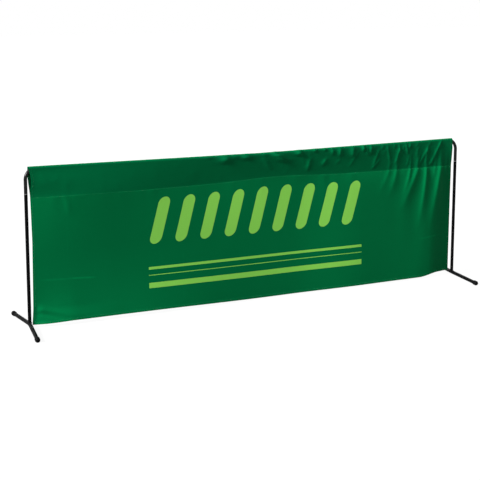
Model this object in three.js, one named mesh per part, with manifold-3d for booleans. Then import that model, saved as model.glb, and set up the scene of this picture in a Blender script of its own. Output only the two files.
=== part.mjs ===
// A free-standing cloth barrier for the edge of a playing area: a take-down frame of bent steel
// tube on two V-bent feet, under one cloth cover that slips over the top rail.
// Millimetres. +X runs along the barrier, its face looks towards -Y and +Z is up. The origin is
// on the floor, midway between the two posts.
import * as THREE from 'three';
import { mergeVertices } from 'three/addons/utils/BufferGeometryUtils.js';
import Module from 'manifold-3d';

// Frame: rail halves with their elbows, and the posts under them
const span = 2330;                  // between the axes of the two posts
const overall_height = 730;         // floor to the top of the cloth, at the posts
const tube_diameter = 16;
const tube_wall = 1.2;
const elbow_radius = 50;            // of the tube's axis
const drop_length = 63.5;           // straight, from the elbow down to the post
const rail_sag = 9;                 // how far the play in the middle joint lets the rail drop

// Spigots: inner tubes that hold the frame together
const spigot_wall = 1.5;
const leg_spigot_depth = 45;        // into the post
const leg_spigot_setback = 18.5;    // from its top to the elbow
const leg_play = 0.3;               // radial, in the posts and in the drops
const rail_spigot_length = 120;
const rail_play = 0.6;              // radial, the slack that lets the rail sag
const rivet_diameter = 4;
const rivet_head_diameter = 7;
const rivet_head_height = 1.6;
const rivet_tail = 1.5;             // how far a rivet reaches into its spigot's bore
const rivet_inset = 22;             // from the joint to the rivet beside it

// Feet: one tube each, bent to a shallow V whose point is at the post
const foot_diameter = 18;
const foot_wall = 1.5;
const foot_reach = 252;             // from the post's axis to the end of the tube, along Y
const foot_splay = 21;              // how far the tube's ends stand outside the post
const foot_arch = 8;                // how far the tube falls from the post to its ends
const foot_bend_length = 60;        // the bent stretch at the post
const weld_size = 4.5;
const left_swivel_degrees = -6.8;   // how the feet happen to be turned, seen from above
const right_swivel_degrees = -12.4;

// Caps: plastic ends of the feet
const cap_diameter = 23.5;
const cap_length = 27;
const cap_grip = 17;                // how deep the foot's tube goes in
const cap_rim_radius = 1.6;
const cap_flat_depth = 0.8;         // moulded flat on the underside

// Cover: one cloth, folded over the rail and sewn to itself below it
const cloth_thickness = 1.2;
const pocket_depth = 145;           // from the top of the cloth down to the seam
const seam_allowance = 3;
const hem_height = 14;              // above the floor, at the posts
const hem_sag = 4;
const cover_end_gap = 13;           // from a post's axis to the cloth's edge, at the rail
const seam_end_gap = 20;            // the same, at the seam
const waist_end_gap = 24;           // the same, where the cloth is drawn in most
const hem_end_gap_left = 18;
const hem_end_gap_right = 26;
const mouth_shoulder = 22;          // how far the pocket hangs straight down, at its open ends
const pocket_shoulder = 3;          // the same, away from the ends
const mouth_length = 48;            // over which the one becomes the other
const fold_count = 4;               // hanging folds beside the right-hand post
const fold_pitch = 125;
const fold_depth = 8;
const fold_deepest_share = 1 / 3;   // of the way from the seam down to the hem
const wave_count = 2.5;             // slow waves along the hem
const wave_depth = 4;
const curl_width = 140;             // the right-hand edge that turns back
const curl_depth = 15;
const curl_at_seam_share = 0.4;     // of the curl's depth, which it reaches at the hem
const lift_width = 200;             // the right-hand corner that the folds draw up
const lift_flat = 80;
const lift_height = 14;

// Fits
const fit_gap = 0.3;                // between two pieces that touch
const cut_overrun = 5;              // how far a cutter reaches past what it cuts

// Facets
const tube_sides = 20;
const small_sides = 12;
const elbow_steps = 8;
const foot_bend_steps = 6;
const dome_steps = 4;
const arc_steps = 5;                // round the top of the pocket
const left_columns = 11;
const middle_columns = 5;
const columns_per_fold = 4;
const left_column_crowding = 1.7;
const waist_share = 0.35;
const panel_row_shares = [0.08, 0.22, 0.42, 0.68, 1];

const tube_radius = tube_diameter / 2;
const tube_bore_radius = tube_radius - tube_wall;
const foot_radius = foot_diameter / 2;
const cap_radius = cap_diameter / 2;
const leg_spigot_radius = tube_bore_radius - leg_play;
const rail_spigot_radius = tube_bore_radius - rail_play;
const rail_axis_height = overall_height - cloth_thickness - fit_gap - tube_radius;
const elbow_x = span / 2 - elbow_radius;
const elbow_height = rail_axis_height - elbow_radius;
const joint_height = elbow_height - drop_length;
const rail_slope = Math.atan2(rail_sag, elbow_x);
const cap_axis_height = cap_radius - cap_flat_depth;
const foot_axis_height = cap_axis_height + foot_arch;

const black_paint = new THREE.MeshStandardMaterial({ color: 0x0b0b0c, roughness: 0.32, metalness: 0.1 });
const black_plastic = new THREE.MeshStandardMaterial({ color: 0x08080a, roughness: 0.6, metalness: 0 });
const zinc = new THREE.MeshStandardMaterial({ color: 0xa8abad, roughness: 0.35, metalness: 0.9 });
const green_cloth = new THREE.MeshStandardMaterial({ color: 0x006237, roughness: 0.55, metalness: 0 });

const wasm = await Module();
wasm.setup();

// Helpers for solids

function toSolid(geometry) {
  const bare = geometry.clone();
  bare.deleteAttribute('normal');
  bare.deleteAttribute('uv');
  const merged = mergeVertices(bare);
  const mesh = new wasm.Mesh({
    numProp: 3,
    vertProperties: new Float32Array(merged.attributes.position.array),
    triVerts: new Uint32Array(merged.index.array),
  });
  return new wasm.Manifold(mesh);
}

function toGeometry(solid) {
  const mesh = solid.getMesh();
  const geometry = new THREE.BufferGeometry();
  geometry.setAttribute('position', new THREE.BufferAttribute(mesh.vertProperties, 3));
  geometry.setIndex(new THREE.BufferAttribute(mesh.triVerts, 1));
  geometry.computeVertexNormals();
  return geometry;
}

function cut(geometry, ...cutters) {
  let solid = toSolid(geometry);
  for (const cutter of cutters) solid = solid.subtract(toSolid(cutter));
  return toGeometry(solid);
}

function circlePoints(radius, sides = tube_sides) {
  const points = [];
  for (let i = 0; i < sides; i++) {
    const angle = (2 * Math.PI * i) / sides;
    points.push(new THREE.Vector2(radius * Math.cos(angle), radius * Math.sin(angle)));
  }
  return points;
}

function ringShape(outer_radius, bore_radius) {
  const shape = new THREE.Shape(circlePoints(outer_radius));
  if (bore_radius > 0) shape.holes.push(new THREE.Path(circlePoints(bore_radius)));
  return shape;
}

// A path that is read only at its stations, so that a straight run takes one step and a bend
// takes several. At each station it points midway between the runs that meet there.
class StationPath extends THREE.Curve {
  constructor(stations) {
    super();
    this.stations = stations;
  }

  getPointAt(u, target = new THREE.Vector3()) {
    const last = this.stations.length - 1;
    return target.copy(this.stations[Math.round(u * last)]);
  }

  getTangentAt(u, target = new THREE.Vector3()) {
    const last = this.stations.length - 1;
    const at = Math.round(u * last);
    const run = (i) => this.stations[i + 1].clone().sub(this.stations[i]).normalize();
    return target.copy(run(Math.max(at - 1, 0))).add(run(Math.min(at, last - 1))).normalize();
  }
}

function tubeAlong(stations, outer_radius, bore_radius = 0) {
  return new THREE.ExtrudeGeometry(ringShape(outer_radius, bore_radius), {
    steps: stations.length - 1,
    extrudePath: new StationPath(stations),
  });
}

function uprightTube(outer_radius, bore_radius, bottom, top) {
  const shape = ringShape(outer_radius, bore_radius);
  const tube = new THREE.ExtrudeGeometry(shape, { depth: top - bottom, bevelEnabled: false });
  return tube.translate(0, 0, bottom);
}

function named(name, geometry, material) {
  const mesh = new THREE.Mesh(geometry, material);
  mesh.name = name;
  return mesh;
}

// Rail halves: from the foot of the drop, round the elbow and along to mid-span

function railAxisHeight(x) {
  return rail_axis_height - Math.max(0, elbow_x - Math.abs(x)) * Math.tan(rail_slope);
}

function railStations(side) {
  const stations = [new THREE.Vector3(side * span / 2, 0, joint_height + fit_gap / 2)];
  for (let i = 0; i <= elbow_steps; i++) {
    const angle = (i / elbow_steps) * (Math.PI / 2 + rail_slope);
    stations.push(new THREE.Vector3(
      side * (elbow_x + elbow_radius * Math.cos(angle)),
      0,
      elbow_height + elbow_radius * Math.sin(angle),
    ));
  }
  const x = fit_gap;
  stations.push(new THREE.Vector3(side * x, 0, railAxisHeight(x)));
  return stations;
}

function rivet(spigot_radius) {
  const shank = rivet_diameter / 2;
  const head = rivet_head_diameter / 2;
  const tail = spigot_radius - spigot_wall - rivet_tail;
  const seat = tube_radius + fit_gap;
  const profile = [[0, tail], [shank, tail], [shank, seat], [head, seat]];
  for (let i = 1; i <= dome_steps; i++) {
    const angle = (i / dome_steps) * (Math.PI / 2);
    profile.push([head * Math.cos(angle), seat + rivet_head_height * Math.sin(angle)]);
  }
  const points = profile.map(([r, y]) => new THREE.Vector2(Math.max(r, 0), y));
  points[points.length - 1].x = 0;
  return new THREE.LatheGeometry(points, small_sides);
}

function rivetHole() {
  const length = tube_radius + cut_overrun;
  const hole = new THREE.CylinderGeometry(
    rivet_diameter / 2 + fit_gap, rivet_diameter / 2 + fit_gap, length, small_sides);
  return hole.translate(0, length / 2, 0);
}

// Turns a rivet or its hole from +Y to point down, beside the middle joint
function underRail(geometry) {
  return geometry.rotateX(-Math.PI / 2).translate(-rivet_inset, 0, railAxisHeight(rivet_inset));
}

function makeRail() {
  const group = new THREE.Group();
  const left = tubeAlong(railStations(-1), tube_radius, tube_bore_radius);
  group.add(named('rail_left', cut(left, underRail(rivetHole())), black_paint));
  const right = tubeAlong(railStations(1), tube_radius, tube_bore_radius);
  group.add(named('rail_right', right, black_paint));

  const spigot_end = rail_spigot_length / 2;
  const spigot_z = (railAxisHeight(0) + railAxisHeight(spigot_end)) / 2;
  const ends = [-spigot_end, spigot_end].map((x) => new THREE.Vector3(x, 0, spigot_z));
  const spigot = tubeAlong(ends, rail_spigot_radius, rail_spigot_radius - spigot_wall);
  group.add(named('rail_spigot', cut(spigot, underRail(rivetHole())), zinc));
  group.add(named('rail_rivet', underRail(rivet(rail_spigot_radius)), zinc));
  return group;
}

// Legs: post, foot, weld, caps and the spigot that plugs into the rail's drop

// The axis of the foot's tube, with +X outwards and the post's axis at the origin
function footStations() {
  const apex = new THREE.Vector3(0, 0, foot_axis_height);
  const ends = [1, -1].map((way) => (
    new THREE.Vector3(foot_splay, way * foot_reach, cap_axis_height)));
  const bend_ends = ends.map((end) => (
    apex.clone().lerp(end, foot_bend_length / 2 / apex.distanceTo(end))));
  const bend = new THREE.QuadraticBezierCurve3(bend_ends[0], apex, bend_ends[1]);
  return [ends[0], ...bend.getPoints(foot_bend_steps), ends[1]];
}

function capGeometry(end, direction) {
  const bore = foot_radius + fit_gap;
  const dome = cap_length - cap_grip;
  const profile = [[0, cap_grip], [bore, cap_grip], [bore, 0], [cap_radius - cap_rim_radius, 0]];
  profile.push([cap_radius, cap_rim_radius]);
  for (let i = 0; i <= dome_steps; i++) {
    const angle = (i / dome_steps) * (Math.PI / 2);
    profile.push([cap_radius * Math.cos(angle), cap_grip + dome * Math.sin(angle)]);
  }
  const points = profile.map(([r, y]) => new THREE.Vector2(r, y));
  points[points.length - 1].x = 0;
  const cap = new THREE.LatheGeometry(points, tube_sides);
  const turn = new THREE.Quaternion().setFromUnitVectors(new THREE.Vector3(0, 1, 0), direction);
  const mouth = end.clone().addScaledVector(direction, fit_gap - cap_grip);
  cap.applyQuaternion(turn).translate(mouth.x, mouth.y, mouth.z);
  const floor = new THREE.BoxGeometry(2 * cap_length, 2 * cap_length, cap_length);
  floor.translate(end.x, end.y, -cap_length / 2);
  return cut(cap, floor);
}

function weldGeometry(stations) {
  const low = foot_axis_height + weld_size;
  const high = foot_axis_height + foot_radius + weld_size;
  const bead = new THREE.CylinderGeometry(
    tube_radius + 2 * fit_gap, tube_radius + weld_size, high - low, tube_sides);
  bead.rotateX(Math.PI / 2).translate(0, 0, (low + high) / 2);
  const skin = toSolid(tubeAlong(stations, foot_radius + weld_size));
  const foot = toSolid(tubeAlong(stations, foot_radius + fit_gap));
  const post = toSolid(uprightTube(tube_radius + fit_gap, 0, 0, joint_height));
  return toGeometry(toSolid(bead).intersect(skin).subtract(foot).subtract(post));
}

function makeLeg(word, side, swivel_degrees) {
  const leg = new THREE.Group();
  leg.position.x = side * span / 2;
  leg.rotation.z = THREE.MathUtils.degToRad(swivel_degrees);
  const stations = footStations().map((p) => new THREE.Vector3(side * p.x, p.y, p.z));

  const hole = () => rivetHole().translate(0, 0, joint_height - rivet_inset);
  const post = uprightTube(
    tube_radius, tube_bore_radius, foot_axis_height, joint_height - fit_gap / 2);
  const saddle = tubeAlong(stations, foot_radius + fit_gap);
  leg.add(named(`post_${word}`, cut(post, saddle, hole()), black_paint));

  const spigot = uprightTube(
    leg_spigot_radius, leg_spigot_radius - spigot_wall,
    joint_height - leg_spigot_depth, elbow_height - leg_spigot_setback);
  leg.add(named(`leg_spigot_${word}`, cut(spigot, hole()), zinc));
  const pin = rivet(leg_spigot_radius).translate(0, 0, joint_height - rivet_inset);
  leg.add(named(`leg_rivet_${word}`, pin, zinc));

  const foot = tubeAlong(stations, foot_radius, foot_radius - foot_wall);
  leg.add(named(`foot_${word}`, foot, black_paint));
  leg.add(named(`weld_${word}`, weldGeometry(stations), black_paint));

  const last = stations.length - 1;
  const ends = { back: [stations[0], stations[1]], front: [stations[last], stations[last - 1]] };
  for (const [where, [end, inner]] of Object.entries(ends)) {
    const direction = end.clone().sub(inner).normalize();
    leg.add(named(`cap_${word}_${where}`, capGeometry(end, direction), black_plastic));
  }
  return leg;
}

// Cover: the panel hangs from a pocket round the rail

const cover_half = span / 2 - cover_end_gap;
const fold_zone = fold_count * fold_pitch;

function smooth(t) {
  const c = Math.min(Math.max(t, 0), 1);
  return c * c * (3 - 2 * c);
}

function mix(a, b, t) {
  return a + (b - a) * t;
}

// Column places, from -1 at the left edge to 1 at the right, closer together at the folds
function columnShares() {
  const shares = [];
  for (let i = 0; i < left_columns; i++) {
    shares.push((i / left_columns) ** left_column_crowding - 1);
  }
  const folds_at = 1 - fold_zone / cover_half;
  for (let i = 0; i < middle_columns; i++) shares.push(folds_at * (i / middle_columns));
  const fold_columns = fold_count * columns_per_fold;
  for (let i = 0; i <= fold_columns; i++) shares.push(mix(folds_at, 1, i / fold_columns));
  return shares;
}

// How deep the folds are, from 0 at the seam and the hem up to 1 where they are deepest
function foldShare(down) {
  const power = (1 - fold_deepest_share) / fold_deepest_share;
  const deepest = fold_deepest_share * (1 - fold_deepest_share) ** power;
  return (down * (1 - down) ** power) / deepest;
}

// How far the panel stands off the plane of the posts; down is 0 at the seam, 1 at the hem
function panelOffset(x, down) {
  const from_edge = cover_half - x;
  const into_folds = Math.max(0, 1 - from_edge / fold_zone);
  const across = Math.sin(Math.PI * into_folds ** 2);
  const fold = fold_depth * across * foldShare(down) * Math.cos((2 * Math.PI * from_edge) / fold_pitch);
  const wave = wave_depth * down * Math.sin((Math.PI * wave_count * x) / cover_half);
  const curl = curl_depth * smooth(1 - from_edge / curl_width) * mix(curl_at_seam_share, 1, down);
  return fold + wave * (1 - into_folds) + curl;
}

function panelPoint(share, down, thickness) {
  const hem_gap = share < 0 ? hem_end_gap_left : hem_end_gap_right;
  const gap = down < waist_share
    ? mix(seam_end_gap, waist_end_gap, down / waist_share)
    : mix(waist_end_gap, hem_gap, (down - waist_share) / (1 - waist_share));
  const x = share * (span / 2 - gap);
  const from_edge = cover_half * (1 - share);
  const lift = lift_height * smooth((lift_width - from_edge) / (lift_width - lift_flat));
  const seam_z = railAxisHeight(share * cover_half) + overall_height - rail_axis_height - pocket_depth;
  const hem_z = hem_height - hem_sag * (1 - share ** 2) + lift;
  return new THREE.Vector3(x, panelOffset(x, down) + thickness, mix(seam_z, hem_z, down));
}

function shoulderDepth(share) {
  const from_end = cover_half * (1 - Math.abs(share));
  return mix(mouth_shoulder, pocket_shoulder, smooth(from_end / mouth_length));
}

// The pocket's wall, from its front shoulder over the rail to its back shoulder
function pocketPoints(share, radius) {
  const x = share * cover_half;
  const z = railAxisHeight(x);
  const corner = radius / Math.cos(Math.PI / arc_steps / 2);
  const points = [new THREE.Vector3(x, -corner, z - shoulderDepth(share))];
  for (let i = 0; i <= arc_steps; i++) {
    const angle = Math.PI * (1 - i / arc_steps);
    points.push(new THREE.Vector3(x, corner * Math.cos(angle), z + corner * Math.sin(angle)));
  }
  points.push(new THREE.Vector3(x, corner, z - shoulderDepth(share)));
  return points;
}

function coverOutline(share) {
  const half = cloth_thickness / 2;
  const rows = panel_row_shares;
  const front = rows.map((down) => panelPoint(share, down, -half)).reverse();
  const back = rows.map((down) => panelPoint(share, down, half));
  const wall = pocketPoints(share, tube_radius + fit_gap + cloth_thickness);
  const seam = [-1, 1].map((way) => panelPoint(share, 0, way * cloth_thickness));
  return [...front, seam[0], ...wall, seam[1], ...back];
}

function tunnelOutline(share) {
  const seam = panelPoint(share, 0, 0);
  seam.z += seam_allowance;
  return [seam, ...pocketPoints(share, tube_radius + fit_gap)];
}

// Joins closed outlines, one for each column, into one body
function loft(outlines) {
  const count = outlines[0].length;
  const positions = outlines.flat().flatMap((p) => [p.x, p.y, p.z]);
  const index = [];
  for (let i = 0; i < outlines.length - 1; i++) {
    for (let j = 0; j < count; j++) {
      const a = i * count + j;
      const b = i * count + (j + 1) % count;
      index.push(a, a + count, b, b, a + count, b + count);
    }
  }
  const flat = (outline) => outline.map((p) => new THREE.Vector2(p.y, p.z));
  const last = (outlines.length - 1) * count;
  for (const [a, b, c] of THREE.ShapeUtils.triangulateShape(flat(outlines[0]), [])) {
    index.push(a, c, b);
  }
  for (const [a, b, c] of THREE.ShapeUtils.triangulateShape(flat(outlines.at(-1)), [])) {
    index.push(last + a, last + b, last + c);
  }
  const geometry = new THREE.BufferGeometry();
  geometry.setAttribute('position', new THREE.Float32BufferAttribute(positions, 3));
  geometry.setIndex(index);
  return geometry;
}

function makeCover() {
  const shares = columnShares();
  const tunnel = shares.map(tunnelOutline);
  for (const p of tunnel[0]) p.x -= cut_overrun;
  for (const p of tunnel.at(-1)) p.x += cut_overrun;
  return named('cover', cut(loft(shares.map(coverOutline)), loft(tunnel)), green_cloth);
}

const barrier = new THREE.Group();
barrier.add(makeRail());
barrier.add(makeLeg('left', -1, left_swivel_degrees));
barrier.add(makeLeg('right', 1, right_swivel_degrees));
barrier.add(makeCover());

export default barrier;
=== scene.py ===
# %% [markdown]
# # A cloth barrier for the edge of a playing area
# The real thing is a take-down frame of black steel tube under one green cloth. Two bent rail
# halves plug together at mid-span, two straight posts plug under their ends, and each post
# stands on a foot that is bent to a shallow V and capped in plastic. The cloth has a pocket
# along its top that slips over the rail, so it hangs by its own weight.
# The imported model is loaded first. It fixes every size and every place, and this script only
# makes finer surfaces in the same places.

# %% Load the frame
import math

import bpy
import numpy as np
from mathutils import Matrix, Vector


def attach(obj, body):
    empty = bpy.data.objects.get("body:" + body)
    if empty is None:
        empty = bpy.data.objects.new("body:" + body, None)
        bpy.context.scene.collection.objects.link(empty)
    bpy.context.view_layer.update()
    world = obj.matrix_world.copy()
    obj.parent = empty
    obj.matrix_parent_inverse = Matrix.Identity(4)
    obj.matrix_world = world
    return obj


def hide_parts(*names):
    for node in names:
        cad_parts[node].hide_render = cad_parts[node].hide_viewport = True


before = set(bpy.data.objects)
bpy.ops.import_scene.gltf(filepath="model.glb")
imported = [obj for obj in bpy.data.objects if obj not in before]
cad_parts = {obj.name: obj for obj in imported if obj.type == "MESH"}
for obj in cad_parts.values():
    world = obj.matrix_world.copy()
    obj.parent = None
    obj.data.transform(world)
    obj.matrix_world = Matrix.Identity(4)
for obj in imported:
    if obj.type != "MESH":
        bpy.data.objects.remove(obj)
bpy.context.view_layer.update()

# %% [markdown]
# The camera stands to the left of the barrier, a little above it and far away, with a long
# lens. A long lens keeps the rail and the hem nearly parallel. Its place was found by matching
# the rail, the hem and the posts to the photograph. No shift is needed.

# %% Camera
camera_place = Vector((-3.034, -5.550, 1.532))
camera_direction = Vector((0.4587, 0.8676, -0.1918))
camera_lens = 99.8                  # millimetres
sensor_width = 36                   # millimetres


def new_object(name, data):
    """An object in the scene, at the origin."""
    made = bpy.data.objects.new(name, data)
    bpy.context.scene.collection.objects.link(made)
    return made


camera = new_object("camera", bpy.data.cameras.new("camera"))
camera.data.lens = camera_lens
camera.data.sensor_width = sensor_width
camera.location = camera_place
camera.rotation_euler = camera_direction.to_track_quat("-Z", "Y").to_euler()
bpy.context.scene.camera = camera
print("camera:", [round(c, 3) for c in camera_place], "with a lens of", camera_lens, "mm")

# %% [markdown]
# ## Finishes
# Materials are built from nodes. What a node puts out can be reckoned with here like any
# number, so a pattern's formula reads like one.

# %% Nodes as numbers
class Value:
    """What a node puts out. Reckoning with it adds Math nodes to its tree."""

    def __init__(self, socket):
        self.socket = socket

    __abs__ = lambda self: maths("ABSOLUTE", self)
    __add__ = lambda self, other: maths("ADD", self, other)
    __radd__ = __add__
    __sub__ = lambda self, other: maths("SUBTRACT", self, other)
    __rsub__ = lambda self, other: maths("SUBTRACT", other, self)
    __mul__ = lambda self, other: maths("MULTIPLY", self, other)
    __truediv__ = lambda self, other: maths("DIVIDE", self, other)


def set_inputs(sockets, settings):
    """Gives each named or numbered input a value of its own, or a wire from another node."""
    for name, value in settings.items():
        if isinstance(value, Value):
            value.socket.id_data.links.new(value.socket, sockets[name])
        else:
            sockets[name].default_value = value


def new_node(tree, kind, settings=None, **properties):
    """A new node, with its properties and its inputs set."""
    node = tree.nodes.new(kind)
    for name, value in properties.items():
        setattr(node, name, value)
    set_inputs(node.inputs, settings or {})
    return node


def add(tree, kind, settings=None, **properties):
    """What a new node puts out, by name, in the sockets' own order."""
    node = new_node(tree, kind, settings, **properties)
    return {socket.name: Value(socket) for socket in node.outputs}


def first(outputs):
    return next(iter(outputs.values()))


def maths(operation, *numbers):
    """One Math node. At least one of the numbers that it takes comes from a node."""
    tree = next(number.socket.id_data for number in numbers if isinstance(number, Value))
    return first(add(tree, "ShaderNodeMath", dict(enumerate(numbers)), operation=operation))


print("what nodes put out can be added, multiplied and wired")


# %% Helpers for patterns
def clamped(value):
    """The value, kept between 0 and 1 by the Math node that puts it out."""
    value.socket.node.use_clamp = True
    return value


def contrasted(value, factor, shift):
    return clamped(value * factor + shift)


def noise(tree, place, scale, detail, distortion=0.0):
    """Soft random patches."""
    settings = {"Vector": place, "Scale": scale, "Detail": detail, "Distortion": distortion}
    return add(tree, "ShaderNodeTexNoise", settings)["Fac"]


def scaled(tree, place, scale):
    return first(add(tree, "ShaderNodeMapping", {"Vector": place, "Scale": scale}))


def x_and_y(tree, place):
    apart = add(tree, "ShaderNodeSeparateXYZ", {0: place})
    return apart["X"], apart["Y"]


def blend(tree, share, one, other):
    """One colour where share is 0, and the other where it is 1."""
    settings = {0: share, 6: one, 7: other}
    return Value(new_node(tree, "ShaderNodeMix", settings, data_type="RGBA").outputs[2])


def bumped(tree, height, strength, depth, **more):
    """The normal of a surface that height makes uneven."""
    settings = {"Height": height, "Strength": strength, "Distance": depth, **more}
    return first(add(tree, "ShaderNodeBump", settings))


print("patterns can be noise, blends of two colours and bumps")


# %% Helpers for groups and materials
def new_group(name, numbers, formula):
    """A group that takes a place and numbers, and puts out what the formula makes of them."""
    group = bpy.data.node_groups.new(name, "ShaderNodeTree")
    face = group.interface
    face.new_socket("Place", in_out="INPUT", socket_type="NodeSocketVector")
    for label, value in numbers.items():
        face.new_socket(label, in_out="INPUT", socket_type="NodeSocketFloat").default_value = value
    results = formula(group, add(group, "NodeGroupInput"))
    for label in results:
        face.new_socket(label, in_out="OUTPUT", socket_type="NodeSocketFloat")
    set_inputs(group.nodes.new("NodeGroupOutput").inputs, results)
    print("node group:", name)
    return group


def use_group(tree, group, place, *numbers):
    """What a group puts out, given its numbers in their own order."""
    return add(tree, "ShaderNodeGroup", dict(enumerate((place, *numbers))), node_tree=group)


def new_material(name):
    """A material, its node tree and the inputs of its Principled BSDF."""
    material = bpy.data.materials.new(name)
    material.use_nodes = True
    return material, material.node_tree, material.node_tree.nodes["Principled BSDF"].inputs


print("groups and materials can be made")

# %% [markdown]
# Paint, plastic and plating pick up the same handling marks: soft cloudy patches where hands
# dulled the surface, and fine scratches. So that effect is a node group, with its scales as
# inputs.

# %% Handling marks, shared by the hard finishes
scratch_stretch = (1, 1, 0.12)
patch_contrast = (2.4, -0.7)        # what the noise is multiplied by, and what is added
scratch_contrast = (9.0, -5.4)


def handling_marks(group, given):
    patches = noise(group, given["Place"], given["Patch Scale"], detail=4.0)
    along = scaled(group, given["Place"], scratch_stretch)
    scratches = noise(group, along, given["Scratch Scale"], detail=2.0, distortion=0.6)
    return {"Patches": contrasted(patches, *patch_contrast),
            "Scratches": contrasted(scratches, *scratch_contrast)}


handling = new_group("handling marks", {"Patch Scale": 30.0, "Scratch Scale": 400.0}, handling_marks)

# %% [markdown]
# The rail is dipped in glossy black paint, and the posts and feet have a duller powder coat.
# The caps are matt black plastic with a fine spark-eroded grain. The rivets, the spigots and
# the cut ends of the tubes are bare or zinc-plated steel. All are one recipe: gloss goes down
# where hands have been, marks change the colour a little, and a fine grain in the bump keeps
# a long highlight from looking like plastic pipe.

# %% Hard finishes
paint_colours = ((0.001, 0.001, 0.0011, 1), (0.005, 0.005, 0.0052, 1))
plastic_colours = ((0.0015, 0.0015, 0.0017, 1), (0.009, 0.009, 0.0095, 1))
zinc_colours = ((0.66, 0.67, 0.68, 1), (0.50, 0.51, 0.53, 1))


def make_hard(name, mark_scales, roughness, colours, specular, scratch_roughness=0.0, grain=None,
              metallic=0.0, coloured_by="Scratches"):
    """A hard finish. Its roughness and colours are given clean and marked, and a grain by the
    scale and detail of its noise and the strength and depth of its bump."""
    material, tree, shader = new_material(name)
    place = add(tree, "ShaderNodeTexCoord")["Object"]
    marks = use_group(tree, handling, place, *mark_scales)
    clean, worn = roughness
    rough = marks["Patches"] * (worn - clean) + clean + marks["Scratches"] * scratch_roughness
    set_inputs(shader, {"Roughness": rough, "Base Color": blend(tree, marks[coloured_by], *colours),
                        "Specular IOR Level": specular, "Metallic": metallic})
    if grain:
        scale, detail, strength, depth = grain
        grainy = noise(tree, place, scale, detail)
        set_inputs(shader, {"Normal": bumped(tree, grainy, strength, depth)})
    return material


gloss_paint = make_hard("gloss black paint", (22.0, 500.0), (0.20, 0.34), paint_colours, 0.16,
                        scratch_roughness=0.12, grain=(260.0, 2.0, 0.35, 0.00006))
dull_paint = make_hard("dull black powder coat", (22.0, 500.0), (0.40, 0.54), paint_colours, 0.02,
                       scratch_roughness=0.12, grain=(900.0, 2.0, 0.35, 0.00010))
black_plastic = make_hard("moulded black plastic", (60.0, 700.0), (0.46, 0.62), plastic_colours, 0.03,
                          grain=(2600.0, 1.0, 0.5, 0.00008))
zinc = make_hard("zinc-plated steel", (140.0, 900.0), (0.26, 0.44), zinc_colours, 0.5,
                 metallic=1.0, coloured_by="Patches")
print("hard finishes:", ", ".join(m.name for m in (gloss_paint, dull_paint, black_plastic, zinc)))

# %% [markdown]
# ## The cloth's finish
# The cover is thin polyester, woven tight and dyed through. Every pattern on it is drawn on
# its flat cut: the UV map says how far along and up the cut a point lies, so the weave, the
# creases and the print follow each fold. The threads that show close up are a node group that
# the cloth and the sewing thread share, each with its own count.

# %% The weave
cloth_threads = 2200.0              # per metre
slub_stretch = (9, 320, 1)          # a slub is a long thick place in a thread


def woven_threads(group, given):
    x, y = x_and_y(group, given["Place"])
    turns = given["Threads per Metre"] * math.pi
    slub = noise(group, scaled(group, given["Place"], slub_stretch), scale=1.0, detail=2.0)
    return {"Height": maths("SINE", x * turns) * maths("SINE", y * turns), "Slub": slub}


weave = new_group("weave", {"Threads per Metre": cloth_threads}, woven_threads)

# %% [markdown]
# The cover was packed folded, and some packing creases still show: shallow grooves that look
# lighter than the cloth around them, partly for dye rubbed thin there and partly as a painted
# highlight along each crease. Three short level ones are clear, and faint upright ones come
# and go. They are far less than a millimetre deep, so they are bump and colour. The folds
# that show from a step away are real shape.

# %% Packing creases
crease_width = 0.0065               # to each side of its line
crease_rounding = 0.3
crease_fade = 0.040                 # how far in from its ends a level crease fades
# Each level crease: its middle on the flat cut as (along, up), its half length, how far it rises
# for each metre along, and how clear it is
level_creases = (
    ((0.105, 0.1975), 0.075, -0.05, 0.50),
    ((0.232, 0.1925), 0.075, -0.05, 0.90),
    ((2.180, 0.204), 0.075, 0.0, 0.50),
)
upright_crease_places = (0.165, 0.745, 1.735)   # along the flat cut, from its left edge
upright_clearness = 0.08
upright_contrast = (5.0, -1.9)


def packing_creases(group, given):
    x, y = x_and_y(group, given["Place"])
    here_and_there = contrasted(noise(group, given["Place"], scale=7.0, detail=1.0), *upright_contrast)

    def groove(off):
        near = clamped(1.0 - abs(off) / given["Width"])
        return maths("SMOOTH_MIN", near, 1.0, crease_rounding)

    total = 0.0
    for (middle, height), half_length, rise, clearness in level_creases:
        along = x - middle
        line = groove(y - height - along * rise)
        total = total + line * clamped((half_length - abs(along)) / crease_fade) * clearness
    for place in upright_crease_places:
        total = total + groove(x - place) * here_and_there * upright_clearness
    return {"Height": total}


creases = new_group("packing creases", {"Width": crease_width}, packing_creases)

# %% [markdown]
# The face carries a plain printed design: a row of leaning bars with round ends, over three
# lines. A point is on a bar if it is nearer than half a bar's width to the bar's middle line.
# One formula serves all the bars, because the distance along the row wraps at each step.

# %% The print
print_middle = 1.161                # along the flat cut, from its left edge
print_width = 1.19
bar_count = 9
bar_width = 0.062
bar_middle_height = 0.424
bar_length = 0.215
bar_lean = 0.30                     # sideways per metre of height
print_lines = ((0.203, 0.013), (0.170, 0.004), (0.121, 0.026))   # height and thickness of each
ink_edge = 0.0006


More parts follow.
